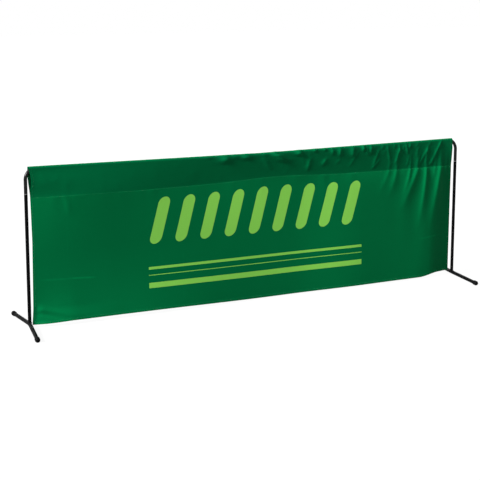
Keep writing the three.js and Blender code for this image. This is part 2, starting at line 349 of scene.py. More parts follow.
def bars_and_lines(group, given):
    x, y = x_and_y(group, given["Place"])
    along = x - print_middle
    up = y - bar_middle_height
    leaned = along - up * bar_lean
    pitch = (print_width - bar_lean * bar_length - bar_width) / (bar_count - 1)
    sideways = maths("WRAP", leaned + pitch * (bar_count % 2) / 2, pitch, 0.0) - pitch / 2
    past_end = maths("MAXIMUM", abs(up) - (bar_length - bar_width) / 2, 0.0)
    off = maths("SQRT", sideways * sideways + past_end * past_end)

    def inside(distance, limit):
        return clamped((limit - distance) / ink_edge)

    total = inside(off, bar_width / 2) * inside(abs(leaned), bar_count * pitch / 2)
    for height, thickness in print_lines:
        line = inside(abs(y - height), thickness / 2) * inside(abs(along), print_width / 2)
        total = maths("MAXIMUM", total, line)
    return {"Mask": total}


printed_design = new_group("print", {}, bars_and_lines)

# %% [markdown]
# The face and the back of the cover are the same cloth, but only the face is printed. Where
# the cloth is double, in the pocket, less light comes through from behind, so it looks a
# little deeper; that shade is painted into the pocket's colour. The ink fills the weave,
# which makes it a bit smoother.

# %% Cloth and thread
flat_width = 2.322
flat_length = 0.8835
panel_length = 0.571                # from the lower edge up to the pocket's seam
dye = (0.0005, 0.1265, 0.0380, 1)
# painted shade: the pocket's colour, deeper because less light comes through two layers than one
painted_double_shade = (0.0004, 0.107, 0.0345, 1)
deepening = 0.002                   # above the seam, until the colour is deep
ink = (0.225, 0.600, 0.083, 1)
least_shade = 0.92                  # what the colour is multiplied by, before these are added
# a crease is lighter in colour partly for rubbed dye and partly as a painted highlight
cloud_shade, slub_shade, crease_wear_and_highlight = 0.10, 0.06, 0.46
cloth_roughness = 0.47
slub_roughness = 0.10               # added to it
ink_smoothness = 0.06               # taken off it
cloth_specular = 0.03
thread_dyes = ((0.001, 0.145, 0.050, 1), (0.002, 0.205, 0.078, 1))
thread_fibres = 5200.0              # per metre
cloth_sheen = (0.10, 1.0, 0.55, 1)


def make_cloth(name, printed):
    material, tree, shader = new_material(name)
    cut = first(add(tree, "ShaderNodeUVMap", uv_map="flat_cut"))
    place = scaled(tree, cut, (flat_width, flat_length, 1))
    threads = use_group(tree, weave, place, cloth_threads)
    crease = first(use_group(tree, creases, place, crease_width))
    above = x_and_y(tree, place)[1] - panel_length
    cloudy = noise(tree, place, scale=3.5, detail=3.0)
    # the creases lighten the colour: rubbed dye, and a painted highlight along each crease
    shade = cloudy * cloud_shade + threads["Slub"] * slub_shade + crease * crease_wear_and_highlight + least_shade
    # above the seam the colour turns to the painted shade of doubled cloth
    colour = blend(tree, clamped(above / deepening), dye, painted_double_shade)
    colour = first(add(tree, "ShaderNodeVectorMath", {0: colour, 3: shade}, operation="SCALE"))
    rough = threads["Slub"] * slub_roughness + cloth_roughness
    if printed:
        mask = first(use_group(tree, printed_design, place))
        colour = blend(tree, mask, colour, ink)
        rough = rough - mask * ink_smoothness
    creased = bumped(tree, 0.0 - crease, strength=0.8, depth=0.0003)
    woven = bumped(tree, threads["Height"], strength=0.30, depth=0.00008, Normal=creased)
    set_inputs(shader, {"Base Color": colour, "Roughness": rough, "Normal": woven,
                        "Specular IOR Level": cloth_specular, "Specular Tint": cloth_sheen})
    return material


def make_thread():
    material, tree, shader = new_material("sewing thread")
    place = add(tree, "ShaderNodeTexCoord")["Object"]
    fibres = use_group(tree, weave, place, thread_fibres)
    set_inputs(shader, {"Base Color": blend(tree, fibres["Slub"], *thread_dyes), "Roughness": 0.48,
                        "Normal": bumped(tree, fibres["Height"], strength=0.5, depth=0.00005)})
    return material


printed_cloth = make_cloth("printed cloth", True)
plain_cloth = make_cloth("plain cloth", False)
thread = make_thread()
print("cloth finishes:", printed_cloth.name + ",", plain_cloth.name, "and", thread.name)

# %% [markdown]
# ## Meshes from rings
# Nearly every hard piece here is a stack of rings: a tube swept along a line, with a real
# bore, or a profile spun round an axis. A tube's end is a cut face with a small bevel, because
# a cut tube is never razor sharp, and the cut itself shows bare metal.

# %% Helpers for meshes
def new_piece(name, points, faces, materials, face_materials=None, sharp_degrees=35):
    """An object at the origin whose mesh holds its place, shaded smooth but for sharp corners."""
    mesh = bpy.data.meshes.new(name)
    mesh.from_pydata([tuple(p) for p in points], [], faces)
    for material in materials:
        mesh.materials.append(material)
    if face_materials is not None:
        mesh.polygons.foreach_set("material_index", face_materials)
    mesh.shade_smooth()
    mesh.set_sharp_from_angle(angle=math.radians(sharp_degrees))
    mesh.validate()
    return new_object(name, mesh)


def turned_out(points, faces):
    """The faces, turned round if they point inwards."""
    points = np.asarray(points)
    corners = np.array([(*face, face[-1])[:4] for face in faces])
    a, b, c, d = (points[corners[:, k]] for k in range(4))
    volume = np.sum(a * (np.cross(b, c) + np.cross(c, d)))
    return faces if volume > 0 else [tuple(reversed(face)) for face in faces]


def moved(place, points):
    return [place @ Vector(p) for p in points]


def unit(vectors):
    return vectors / np.linalg.norm(vectors, axis=-1, keepdims=True)


print("pieces can be made from points and faces")

# %% Tubes and spun shapes
tube_sides = 48
dome_steps = 14
bevel = 0.0003


def tube_rings(path, across, outer, wall):
    """Rings of a tube along path: out over its skin, round the cut end and back down its bore."""
    path = np.array(path, float)
    runs = unit(np.diff(path, axis=0))
    ways = unit(np.vstack([runs[:1], runs]) + np.vstack([runs, runs[-1:]]))
    side = unit(np.cross(across, ways))
    over = np.cross(ways, side)
    angles = np.linspace(0, 2 * math.pi, tube_sides, endpoint=False)
    last = len(path) - 1
    bore = outer - wall
    steps = [(0, 0, outer - bevel), (0, bevel, outer)]
    steps += [(i, 0, outer) for i in range(1, last)]
    steps += [(last, -bevel, outer), (last, 0, outer - bevel)]
    steps += [(last, 0, bore + bevel), (last, -bevel, bore)]
    steps += [(i, 0, bore) for i in range(last - 1, 0, -1)]
    steps += [(0, bevel, bore), (0, 0, bore + bevel)]
    return [path[i] + shift * ways[i]
            + radius * (np.outer(np.cos(angles), side[i]) + np.outer(np.sin(angles), over[i]))
            for i, shift, radius in steps]


def quads(index):
    """A face for each square of neighbours in a grid of point numbers."""
    corners = (index[:-1, :-1], index[:-1, 1:], index[1:, 1:], index[1:, :-1])
    return np.stack(corners, axis=-1).reshape(-1, 4)


def tube_piece(name, rings, paint, place=Matrix(), bare_strips=()):
    """A painted tube from its rings; its cut ends and any bare strips between rings are metal."""
    points = np.vstack(rings)
    index = np.arange(len(points)).reshape(-1, tube_sides)
    faces = quads(np.pad(index, ((0, 1), (0, 1)), mode="wrap")).tolist()
    bare = (len(rings) // 2 - 1, len(rings) - 1, *bare_strips)
    metal = np.isin(np.arange(len(faces)) // tube_sides, bare).astype(np.int32)
    return new_piece(name, moved(place, points), turned_out(points, faces), [paint, zinc], metal)


def dome(radius, low, high):
    """The profile of a dome, from its rim up to its pole."""
    angles = [i / dome_steps * math.pi / 2 for i in range(dome_steps)]
    return [(radius * math.cos(a), low + (high - low) * math.sin(a)) for a in angles] + [(0, high)]


def spun(profile, count=tube_sides):
    """Points and faces of a profile of (radius, height) spun round +Z, from pole to pole."""
    points, rows = [], []
    angles = [2 * math.pi * k / count for k in range(count)]
    for radius, height in profile:
        start = len(points)
        if radius == 0:
            points.append((0, 0, height))
            rows.append([start] * count)
        else:
            points += [(radius * math.cos(a), radius * math.sin(a), height) for a in angles]
            rows.append(list(range(start, start + count)))
    index = np.pad(rows, ((0, 0), (0, 1)), mode="wrap")
    return points, [tuple(dict.fromkeys(face)) for face in quads(index).tolist()]


print("tubes and spun shapes have", tube_sides, "sides")

# %% [markdown]
# ## Rail halves
# A rail half is one tube: up from its joint with the post, round an elbow, and along to
# mid-span. The halves meet there on an inner spigot with some play, so the rail sags by 9 mm.
# The line has a point at each end of a straight run and a few dozen round the elbow, where a
# bender's die leaves a true arc.

# %% Make the rail halves
ways_out = {"left": -1, "right": 1}   # from mid-span to each end, along X
span = 2.330                        # between the axes of the two posts
tube_radius = 0.008
tube_wall = 0.0012
elbow_radius = 0.050
elbow_steps = 28
rail_axis_height = 0.7205           # at the elbows
joint_height = 0.607                # where a drop meets its post
joint_gap = 0.00015
mid_gap = 0.0003
bare_end = 0.0008                   # of the drop, rubbed down to the metal by the post
rail_sag = 0.009
elbow_x = span / 2 - elbow_radius
rail_slope = math.atan2(rail_sag, elbow_x)


def rail_height(x):
    """The height of the rail's axis at x."""
    return rail_axis_height - np.maximum(0, elbow_x - np.abs(x)) * math.tan(rail_slope)


def rail_path(side):
    end = joint_height + joint_gap
    path = [(side * span / 2, 0, end), (side * span / 2, 0, end + bare_end)]
    for i in range(elbow_steps + 1):
        angle = i / elbow_steps * (math.pi / 2 + rail_slope)
        path.append((side * (elbow_x + elbow_radius * math.cos(angle)), 0,
                     rail_axis_height + elbow_radius * (math.sin(angle) - 1)))
    return path + [(side * mid_gap, 0, float(rail_height(mid_gap)))]


rails = {}
for word, side in ways_out.items():
    rings = tube_rings(rail_path(side), (0, 1, 0), tube_radius, tube_wall)
    rails[word] = tube_piece(f"rail_tube_{word}", rings, gloss_paint, bare_strips=(0, 1))
    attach(rails[word], "frame")
    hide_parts(f"rail_{word}")
    print(rails[word].name, "has", len(rails[word].data.polygons), "faces")

# %% [markdown]
# ## Legs
# A leg is a post welded to the middle of a foot. The foot is one tube, bent so that its ends
# stand a little outside the post and 8 mm lower, which leaves only the end caps on the floor.
# A leg swivels on the spigot under the rail, so each is made about its own post and put in
# place with one matrix.

# %% Places of the legs
foot_radius = 0.009
foot_wall = 0.0015
foot_reach = 0.252                  # from the post to the end of the tube, along the leg's Y
foot_splay = 0.021                  # how far the tube's ends stand outside the post
foot_axis_height = 0.01895          # at the post
foot_end_height = 0.01095
foot_bend_reach = 0.030             # from the post to each end of the bend
foot_bend_steps = 16
swivel_degrees = {"left": -6.8, "right": -12.4}


def leg_place(word, side):
    turn = Matrix.Rotation(math.radians(swivel_degrees[word]), 4, "Z")
    return Matrix.Translation((side * span / 2, 0, 0)) @ turn


def foot_path(side):
    """The foot's axis in the leg's own frame, from the back end to the front one."""
    top = np.array((0, 0, foot_axis_height))
    ends = [np.array((side * foot_splay, way * foot_reach, foot_end_height)) for way in (1, -1)]
    near = [top + (end - top) * foot_bend_reach / np.linalg.norm(end - top) for end in ends]
    shares = [i / foot_bend_steps for i in range(foot_bend_steps + 1)]
    bend = [(1 - t) ** 2 * near[0] + 2 * t * (1 - t) * top + t ** 2 * near[1] for t in shares]
    return [ends[0], *bend, ends[1]]


print("the foot's tube is", round(2 * foot_reach, 3), "m long between its ends")

# %% [markdown]
# The post's lower end is cut to a saddle that sits on the foot: each point of its lowest ring
# drops to where a circle of the foot's radius lies under it.

# %% Make the feet and the posts
saddle_margin = 0.002               # keeps the saddle's lowest points on the foot's side


def foot_top(side, x):
    """The height of the foot's skin beside the post, at x across it."""
    middle = foot_path(side)[1 + foot_bend_steps // 2]
    off = np.minimum(np.abs(x - middle[0]), foot_radius - saddle_margin)
    return middle[2] + np.sqrt(foot_radius ** 2 - off ** 2)


def post_rings(side):
    path = [(0, 0, foot_axis_height), (0, 0, joint_height - joint_gap)]
    rings = tube_rings(path, (0, 1, 0), tube_radius, tube_wall)
    for ring in (rings[0], rings[1], rings[-2], rings[-1]):
        ring[:, 2] = foot_top(side, ring[:, 0])
    return rings


for word, side in ways_out.items():
    place = leg_place(word, side)
    rings = tube_rings(foot_path(side), (0, 0, 1), foot_radius, foot_wall)
    foot = tube_piece(f"foot_tube_{word}", rings, dull_paint, place)
    post = tube_piece(f"post_tube_{word}", post_rings(side), dull_paint, place)
    for piece, node in ((foot, f"foot_{word}"), (post, f"post_{word}")):
        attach(piece, f"leg_{word}")
        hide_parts(node)
    print(foot.name, "and", post.name, "are in place")

# %% [markdown]
# ## Caps
# A cap is a moulded cup pushed over the end of the foot's tube. Its profile is spun round the
# tube's axis: the bore, a rounded mouth, a shallow grip groove and a domed end. What would
# reach below the floor is pressed flat, as the moulded pad on the real cap is.

# %% Make the caps
cap_radius = 0.01175
cap_bore = 0.0093
cap_grip = 0.017                    # how deep the tube goes in
cap_length = 0.027
cap_clearance = 0.0003
mouth_round = 0.0012
groove_place = 0.0048
groove_depth = 0.00035
groove_width = 0.0014
round_steps = 5


def cap_profile():
    profile = [(0, cap_grip), (cap_bore, cap_grip), (cap_bore, bevel), (cap_bore + bevel, 0)]
    for i in range(round_steps + 1):
        angle = i / round_steps * math.pi / 2
        profile.append((cap_radius - mouth_round * (1 - math.sin(angle)),
                        mouth_round * (1 - math.cos(angle))))
    for shift, depth in ((-1, 0), (-0.5, 1), (0.5, 1), (1, 0)):
        profile.append((cap_radius - depth * groove_depth, groove_place + shift * groove_width / 2))
    return profile + dome(cap_radius, cap_grip, cap_length)


cap_points, cap_faces = spun(cap_profile())
for word, side in ways_out.items():
    path = foot_path(side)
    for where, end, inner in (("back", path[0], path[1]), ("front", path[-1], path[-2])):
        way = Vector(end - inner).normalized()
        mouth = Vector(end) + way * (cap_clearance - cap_grip)
        turn = way.to_track_quat("Z", "Y").to_matrix().to_4x4()
        points = moved(leg_place(word, side) @ Matrix.Translation(mouth) @ turn, cap_points)
        for point in points:
            point.z = max(point.z, 0.0)
        cap = new_piece(f"end_cap_{word}_{where}", points, turned_out(points, cap_faces),
                        [black_plastic])
        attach(cap, f"leg_{word}")
        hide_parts(f"cap_{word}_{where}")
        print(cap.name, "has", len(cap.data.polygons), "faces")

# %% [markdown]
# ## Rivets
# One rivet through the back of each post holds the leg's spigot. It is a short shank under a
# domed head, spun like the caps. The spigots and the rail's own rivet stay inside the tubes,
# so the model's shapes serve for them and only get the zinc finish.

# %% Make the leg rivets, and finish what stays inside
rivet_inset = 0.022                 # below the joint
rivet_seat = 0.0082                 # from the post's axis to the underside of the head
rivet_tail = 0.0035
shank_radius = 0.002
head_radius = 0.0035
head_height = 0.0016
head_rim = 0.0003
head_sides = 32

rivet_profile = [(0, rivet_tail), (shank_radius, rivet_tail), (shank_radius, rivet_seat),
                 (head_radius, rivet_seat)]
rivet_profile += dome(head_radius, rivet_seat + head_rim, rivet_seat + head_height)
rivet_points, rivet_faces = spun(rivet_profile, head_sides)
for word, side in ways_out.items():
    place = (leg_place(word, side) @ Matrix.Translation((0, 0, joint_height - rivet_inset))
             @ Matrix.Rotation(-math.pi / 2, 4, "X"))
    points = moved(place, rivet_points)
    rivet = new_piece(f"rivet_{word}", points, turned_out(points, rivet_faces), [zinc])
    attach(rivet, f"leg_{word}")
    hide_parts(f"leg_rivet_{word}")

for node in ("rail_spigot", "rail_rivet", "leg_spigot_left", "leg_spigot_right"):
    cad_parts[node].data.materials.clear()
    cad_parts[node].data.materials.append(zinc)
print("zinc on the rivets and on the spigots inside the tubes")

# %% [markdown]
# ## Rows of beads
# Stitches and weld scales are the same thing to a modeller: small lumps at an even pitch along
# a line, each turned to follow it and to stand on the surface. That is a job for Geometry
# Nodes. The input is a mesh of bare edges whose points carry the way the surface faces. The
# tree resamples the edges, puts a lump on each point, and ends in real geometry.

# %% Build the bead tree
bead_segments = 6
bead_rings = 4


def make_bead_tree():
    """The tree, and the identifier of each of its inputs."""
    tree = bpy.data.node_groups.new("row of beads", "GeometryNodeTree")
    face = tree.interface
    face.new_socket("Geometry", in_out="INPUT", socket_type="NodeSocketGeometry")
    sockets = {}
    for label, kind in (("Pitch", "Float"), ("Size", "Vector"), ("Unevenness", "Float"),
                        ("Seed", "Int"), ("Material", "Material")):
        made = face.new_socket(label, in_out="INPUT", socket_type="NodeSocket" + kind)
        sockets[label] = made.identifier
    face.new_socket("Geometry", in_out="OUTPUT", socket_type="NodeSocketGeometry")
    given = add(tree, "NodeGroupInput")

    def step(kind, settings=None, **properties):
        return first(add(tree, kind, settings, **properties))

    line = step("GeometryNodeMeshToCurve", {"Mesh": given["Geometry"]})
    points = step("GeometryNodeResampleCurve", {"Curve": line, "Length": given["Pitch"]}, mode="LENGTH")
    facing = step("GeometryNodeInputNamedAttribute", {"Name": "facing"}, data_type="FLOAT_VECTOR")
    stood = step("FunctionNodeAlignRotationToVector", {"Vector": facing}, axis="Z")
    turned = step("FunctionNodeAlignRotationToVector",
                  {"Rotation": stood, "Vector": step("GeometryNodeInputTangent")},
                  axis="X", pivot_axis="Z")
    ball = step("GeometryNodeMeshUVSphere",
                {"Segments": bead_segments, "Rings": bead_rings, "Radius": 0.5})
    bead = step("GeometryNodeTransform", {"Geometry": ball, "Scale": given["Size"]})
    least, most = 1.0 - given["Unevenness"], 1.0 + given["Unevenness"]
    random = new_node(tree, "FunctionNodeRandomValue", {2: least, 3: most, "Seed": given["Seed"]},
                      data_type="FLOAT")
    size = Value(random.outputs[1])
    placed = step("GeometryNodeInstanceOnPoints",
                  {"Points": points, "Instance": bead, "Rotation": turned, "Scale": size})
    real = step("GeometryNodeRealizeInstances", {0: placed})
    soft = step("GeometryNodeSetShadeSmooth", {0: real})
    done = step("GeometryNodeSetMaterial", {0: soft, "Material": given["Material"]})
    set_inputs(tree.nodes.new("NodeGroupOutput").inputs, {0: done})
    return tree, sockets


bead_tree, bead_sockets = make_bead_tree()
print("geometry node tree:", bead_tree.name, "with", len(bead_tree.nodes), "nodes")


# %% Helper for rows of beads
def bead_piece(name, lines, material, pitch, size, unevenness, seed, closed=False):
    """Beads along lines, each a pair of arrays: the line's points and what faces out there."""
    points, edges, facing = [], [], []
    for line, outward in lines:
        start, count = len(points), len(line)
        points += [tuple(p) for p in line]
        facing += [tuple(p) for p in outward]
        edges += [(start + i, start + i + 1) for i in range(count - 1)]
        if closed:
            edges.append((start + count - 1, start))
    mesh = bpy.data.meshes.new(name + "_lines")
    mesh.from_pydata(points, edges, [])
    attribute = mesh.attributes.new("facing", "FLOAT_VECTOR", "POINT")
    attribute.data.foreach_set("vector", np.array(facing, dtype=np.float32).ravel())
    guide = new_object(name + "_lines", mesh)
    modifier = guide.modifiers.new("beads", "NODES")
    modifier.node_group = bead_tree
    for label, value in (("Pitch", pitch), ("Size", size), ("Unevenness", unevenness),
                         ("Seed", seed), ("Material", material)):
        modifier[bead_sockets[label]] = value
    evaluated = guide.evaluated_get(bpy.context.evaluated_depsgraph_get())
    made = bpy.data.meshes.new_from_object(evaluated)
    made.name = name
    if "facing" in made.attributes:
        made.attributes.remove(made.attributes["facing"])
    bpy.data.objects.remove(guide)
    print(name, "has", len(made.polygons) // (bead_segments * bead_rings), "beads")
    return new_object(name, made)


print("beads can be laid along lines")

# %% [markdown]
# ## Welds
# The weld runs round the saddle at the foot of each post. A hand-laid weld is a row of
# overlapping scales, so it is a closed row of beads at a pitch far below a bead's width. It
# carries the same paint as the tubes.

# %% Make the welds
weld_pitch = 0.0012
weld_size = (0.0036, 0.0058, 0.0042)   # along the seam, across it and out of it
weld_unevenness = 0.12
weld_steps = 72

for seed, (word, side) in enumerate(ways_out.items()):
    place = leg_place(word, side)
    turn = place.to_3x3()
    line, outward = [], []
    for i in range(weld_steps):
        angle = 2 * math.pi * i / weld_steps
        x, y = tube_radius * math.cos(angle), tube_radius * math.sin(angle)
        line.append(place @ Vector((x, y, foot_top(side, x))))
        outward.append(turn @ Vector((x, y, tube_radius)).normalized())
    weld = bead_piece(f"weld_bead_{word}", [(line, outward)], dull_paint, weld_pitch, weld_size,
                      weld_unevenness, seed, closed=True)
    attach(weld, f"leg_{word}")
    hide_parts(f"weld_{word}")

# %% [markdown]
# ## The cloth
# The cover is one cut of cloth. From its lower edge it runs up the front to the seam, on round
# the rail and down the back to the seam again, where a narrow flap hangs below the stitches.
# So its shape is a function of two flat coordinates, along and up the cut, which keeps the
# print and the weave in place. Its grid is finer at the folds and at the hems.

# %% The cut and its grid
pocket_side = 0.136                 # from the seam up to the rail, front and back alike
over_rail = 0.027
flap_length = 0.0135
hem_width = 0.012
stitch_inset = 0.010                # from an edge to its row of stitches
seam_stitches = 0.003               # below the seam
layer = 0.0005                      # one thickness of cloth
edge_places = np.array((0, 0.0012, 0.005, stitch_inset, 0.0114, 0.0126, 0.016))
seam_places = np.array((0.009, 0.0055, seam_stitches, 0.0014, 0))
panel_grid = (0.023, panel_length - 0.014, 64)   # from, to and how many rows
coarse_grid = (0.024, 1.40, 112)    # from, to and how many columns
fine_grid = (1.40, flat_width - 0.020, 201)
wall_count, arc_count, back_count = 32, 12, 20


def steps_to_one(count):
    return np.linspace(0, 1, count + 1)[1:]


column_places = np.concatenate([edge_places, np.linspace(*coarse_grid), np.linspace(*fine_grid)[1:],
                                flat_width - edge_places[::-1]])
panel_rows = np.concatenate([edge_places, np.linspace(*panel_grid), panel_length - seam_places])
wall_rows, arc_rows, back_rows = map(steps_to_one, (wall_count, arc_count, back_count))
flap_rows = np.array((0.0014, seam_stitches, 0.008, flap_length))
print("the cut is", flat_width, "by", flat_length, "m, in", len(column_places), "columns")

# %% [markdown]
# The panel is far from flat. Slow folds and waves run along it, its right-hand edge curls
# back, and on those lie crests. A crest runs from one point to another, widens on its way and
# fades at its ends. The strong ones fan out from the gathered end of the seam.

# %% Helpers for soft shapes
def together(*coordinates):
    """Points of the grid, from coordinates that may each vary along only one side of it."""
    return np.stack(np.broadcast_arrays(*coordinates), axis=-1)


def mix(a, b, t):
    return a + (b - a) * t


def ramp(x, start, end):
    """0 as far as start and 1 from end on, with a soft step between them, in either direction."""
    t = np.clip((x - start) / (end - start), 0, 1)
    return t * t * (3 - 2 * t)


def within(x, left, right):
    """1 between two soft ends, each given as where it is still 0 and where it is 1."""
    return ramp(x, *left) * ramp(x, *right)


def rounded(off, half_width):
    """The cross section of a crest or a wrinkle."""
    return 1 / (1 + (off / half_width) ** 2) ** 1.5


print("a soft step is half way up at", float(ramp(0.5, 0, 1)))

# %% Crests of the panel
crest_widening = (0.6, 1.5)         # of the half width, at its start and at its end
crest_fades = ((-0.05, 0.05), (1, 0.25))   # along it
shaded_flank = 1.8                  # its right-hand flank is this much wider than its left one

# Each crest, in millimetres: where it starts and ends as (x, height), its half width, how high
# it stands and how far it bows sideways
panel_crests = (
    ((1074, 592), (1014, 220), 26, 10, -6),
    ((983, 592), (936, 240), 16, 6.2, 0),
    ((930, 592), (817, 350), 20, 7.4, 0),
    ((801, 592), (752, 440), 18, 4.8, 0),
    ((757, 592), (680, 450), 12, 1.8, 0),
    ((1040, 592), (1022, 510), 10, 2.4, 0),
    ((885, 590), (835, 430), 12, 5, 0),
    ((1112, 590), (1096, 440), 11, 1.8, 0),
    ((-988, 590), (-968, 480), 7, 2.2, 0),
    ((-1125, 82), (-870, 18), 14, 6.2, 0),
    ((-1125, 52), (-970, 2), 10, 3.6, 0),
)


def crest(x, z, start, end, half_width, height, bow):
    """How far a crest stands out at (x, z), in metres; what it takes is in millimetres."""
    start = np.array(start) / 1000
    run = np.array(end) / 1000 - start
    length = np.hypot(*run)
    along = ((x - start[0]) * run[0] + (z - start[1]) * run[1]) / length ** 2
    off = ((x - start[0]) * run[1] - (z - start[1]) * run[0]) / length
    inside = np.clip(along, 0, 1)
    off = off + 4 * bow / 1000 * inside * (1 - inside)
    width = half_width / 1000 * mix(*crest_widening, inside) * np.where(off < 0, shaded_flank, 1)
    return height / 1000 * within(along, *crest_fades) * rounded(off, width)


print("the panel has", len(panel_crests), "crests")

# %% Folds of the panel
cover_half = 1.152                  # from mid-span to the cloth's edge, at the rail
fold_pitch = 0.125
fold_count = 4
fold_depth = 0.0012
fold_deepest = 0.24                 # of the way from the seam down to the hem
wave_count = 2.5
wave_depth = 0.0025
wave_shift = 0.20
curl_widths = (0.100, 0.245)        # at the seam and at the hem
curl_depth = 0.0205
curl_at_seam = 0.25                 # share of that depth


def folded(x, z, down):
    """How far folds, waves, the curl and the crests move the panel back."""
    from_edge = cover_half - x
    into_folds = np.clip(1 - from_edge / (fold_count * fold_pitch), 0, None)
    power = (1 - fold_deepest) / fold_deepest
    deep = down * (1 - down) ** power / (fold_deepest * (1 - fold_deepest) ** power)
    across = np.sin(math.pi * into_folds ** 2)
    fold = fold_depth * across * deep * np.cos(2 * math.pi * from_edge / fold_pitch)
    wave = wave_depth * down * np.sin(math.pi * wave_count * (x + wave_shift) / cover_half)
    into_curl = np.clip(1 - from_edge / mix(*curl_widths, down), 0, 1)
    curl = curl_depth * into_curl ** 2 * mix(curl_at_seam, 1, down)
    raised = sum(crest(x, z, *line) for line in panel_crests)
    return fold + wave * (1 - into_folds) + curl - raised


print("the right-hand edge curls back by", curl_depth, "m at the hem")

# %% [markdown]
# The cloth also bellies. Its left half hangs forward of the posts, further still towards the
# hem, which lifts a little. Right of the middle it bellies under the seam, which puckers it.
# Each belly is a depth times soft steps, along the cloth and down it, and a step is given as
# where it is still 0 and where it is 1.

# %% Bellies of the panel
seam_setback = 0.003
seam_belly = 0.027                  # how far forward the seam comes, towards its left end
seam_belly_step = (-0.15, -1.05)
seam_belly_at_edge = 0.35           # share of that
rise_reach = 0.40                   # from the left-hand edge to where the belly is whole
left_edge_forward = 0.012
left_edge_step = (1, 0.85)          # down the panel
left_belly = 0.017
left_belly_step = (0.70, -0.80)
toe_depth = 0.022
toe_span = ((-1.20, -0.95), (0.50, -1.00))
toe_from = 0.42                     # down the panel
flare_depth = 0.0075
flare_span = ((-1.16, -1.08), (-0.70, -1.00))
flare_step = (0.87, 1)              # down the panel
right_belly = 0.0095
right_span = ((0.20, 0.60), (1.13, 1.01))
right_power = 14                    # how soon under the seam that belly is whole
ledge_height = 0.0026               # a pucker, right under the stitches
ledge_drop = 0.007
ledge_fade = 0.040
pucker_step = (-0.3, 0.7)           # along the seam, from weak puckers to the others
weak_pucker = 0.45
pucker_places = np.arange(-1.2, 1.2, 0.032)
puckers = np.clip(np.random.default_rng(11).uniform(-1.0, 1.0, len(pucker_places)), 0, 1)
puckers *= mix(weak_pucker, 1, ramp(pucker_places, *pucker_step))


def bellied(x, down):
    """How far the cloth's own hang moves the panel back; forward is less than 0."""
    rise = 1 - (1 - np.clip((x + cover_half) / rise_reach, 0, 1)) ** 2
    seam = seam_setback - seam_belly * ramp(x, *seam_belly_step) * mix(seam_belly_at_edge, 1, rise)
    edge = left_edge_forward * ramp(down, *left_edge_step)
    left = mix(edge, left_belly, rise) * ramp(x, *left_belly_step)
    toe = toe_depth * within(x, *toe_span) * np.clip((down - toe_from) / (1 - toe_from), 0, 1) ** 2
    flare = flare_depth * within(x, *flare_span) * ramp(down, *flare_step)
    right = right_belly * within(x, *right_span)
    below = down * panel_length
    ledge = ledge_height * np.interp(x, pucker_places, puckers)
    ledge = ledge * ramp(below, 0, ledge_drop) * np.exp(-below / ledge_fade)
    return (seam * (1 - down) ** 2 - left * (1 - (1 - down) ** 3) - toe - flare
            - right * (1 - (1 - down) ** right_power) - ledge)


print("the seam comes forward by", seam_belly, "m and has", np.count_nonzero(puckers), "puckers")

# %% Hang of the panel
seam_level = 0.588
end_rise = 0.0035                   # of the seam, towards its left end
end_rise_step = (-0.60, -0.90)
hump_height = 0.013                 # the rail's joint lifts the pocket and its seam
hump_place = 0.11
hump_width = 0.25
hump_power = 5                      # how soon the lift is lost down the panel
gap_heights = (0, 0.35, 1)          # down the panel
post_gaps = ((0.017, 0.019, 0.0125), (0.020, 0.019, 0.012))   # from each post's axis, there
hem_height = 0.014
hem_sag = 0.004
corner_lift = 0.014                 # of the lower right-hand corner
corner_step = (0.200, 0.080)        # from the edge
left_hem_lift = 0.0088
left_hem_span = ((-1.14, -0.94), (0.08, -0.58))


def panel_points(share, down):
    """Points of the panel; down is 0 at the seam and 1 at the hem."""
    gap = np.where(share < 0, *(np.interp(down, gap_heights, gaps) for gaps in post_gaps))
    x = share * (span / 2 - gap)
    lift = corner_lift * ramp(cover_half * (1 - share), *corner_step)
    seam_z = seam_level + end_rise * ramp(x, *end_rise_step)
    hem_z = hem_height - hem_sag * (1 - share ** 2) + lift
    hump = hump_height * np.exp(-((x - hump_place) / hump_width) ** 2)
    z = mix(seam_z, hem_z, down) + hump * (1 - down) ** hump_power
    z = z + left_hem_lift * within(x, *left_hem_span) * down ** 3
    y = folded(x, z, down) + bellied(x, down)
    return together(x, y, z)


print("the panel hangs from", seam_level, "m at the seam to", hem_height, "m at the hem")

# %% [markdown]
# The cut is a little longer than the rail, and the slack sits at the right-hand end, so the
# pocket is gathered there. Its wrinkles lean, because the seam has crept to the left of the
# rail. The strong ones are placed one by one, and the faint ones by a fixed seed.

